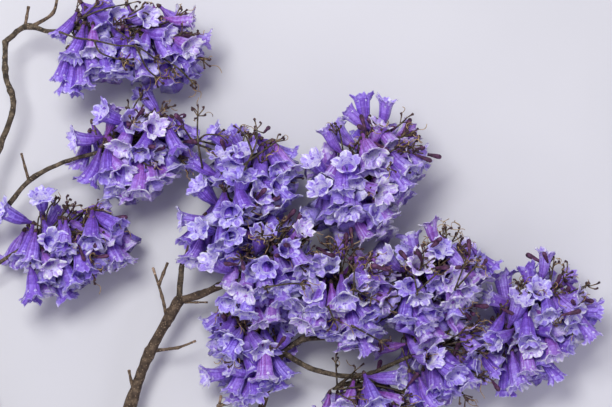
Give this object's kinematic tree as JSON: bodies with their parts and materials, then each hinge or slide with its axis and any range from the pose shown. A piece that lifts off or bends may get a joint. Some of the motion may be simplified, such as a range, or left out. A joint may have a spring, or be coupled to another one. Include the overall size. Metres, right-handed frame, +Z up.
{
  "type": "flowering jacaranda branch",
  "caption": "Cut branch of a jacaranda tree in full flower, forked, with panicles of violet trumpet blooms and bare twigs, lying on the ground.",
  "frame": {"origin": "on the ground under the middle of the box round the lying branch", "axes": "+Z up from the ground, +Y up the branch from its cut end, +X to the right as seen from above"},
  "size_m": [0.637, 0.6512, 0.1453],
  "materials": {
    "bark": "dull grey-brown bark with small raised pores, greener near the flowers",
    "panicle": "soft thin petals, lavender-violet, on olive-brown stalks",
    "bloom": "soft thin petals, lavender-violet, paler at the lobes' edges, white in the throat"
  },
  "bodies": {
    "root": {"bottom_bloom_1": "bloom", "bottom_panicle": "panicle", "centre_bloom_1": "bloom", "centre_bloom_2": "bloom", "centre_bough": "bark", "centre_panicle": "panicle", "far_right_bloom_1": "bloom", "far_right_bough": "bark", "far_right_panicle": "panicle", "foot_twig": "bark", "fork_twig": "bark", "inner_bloom_1": "bloom", "inner_panicle": "panicle", "left_bloom_1": "bloom", "left_bough": "bark", "left_limb": "bark", "left_limb_foot": "bark", "left_panicle": "panicle", "left_prong": "bark", "left_twig": "bark", "low_bough": "bark", "low_stub": "bark", "lower_bloom_1": "bloom", "lower_bloom_2": "bloom", "lower_bough": "bark", "lower_left_bloom_1": "bloom", "lower_left_bough": "bark", "lower_left_panicle": "panicle", "lower_panicle": "panicle", "lower_right_bloom_1": "bloom", "lower_right_bough": "bark", "lower_right_panicle": "panicle", "main_stem": "bark", "middle_bloom_1": "bloom", "middle_bloom_2": "bloom", "middle_limb": "bark", "middle_panicle": "panicle", "old_stump": "bark", "right_bloom_1": "bloom", "right_bloom_2": "bloom", "right_bough": "bark", "right_limb": "bark", "right_limb_foot": "bark", "right_panicle": "panicle", "right_stub": "bark", "right_twig": "bark", "thin_twig": "bark", "top_bough": "bark", "top_prong": "bark", "top_twig": "bark", "upper_left_bloom_1": "bloom", "upper_left_bloom_2": "bloom", "upper_left_bloom_3": "bloom", "upper_left_bough": "bark", "upper_left_panicle": "panicle", "upper_right_bloom_1": "bloom", "upper_right_bloom_2": "bloom", "upper_right_bloom_3": "bloom", "upper_right_bough": "bark", "upper_right_panicle": "panicle"}
  },
  "joints": []
}
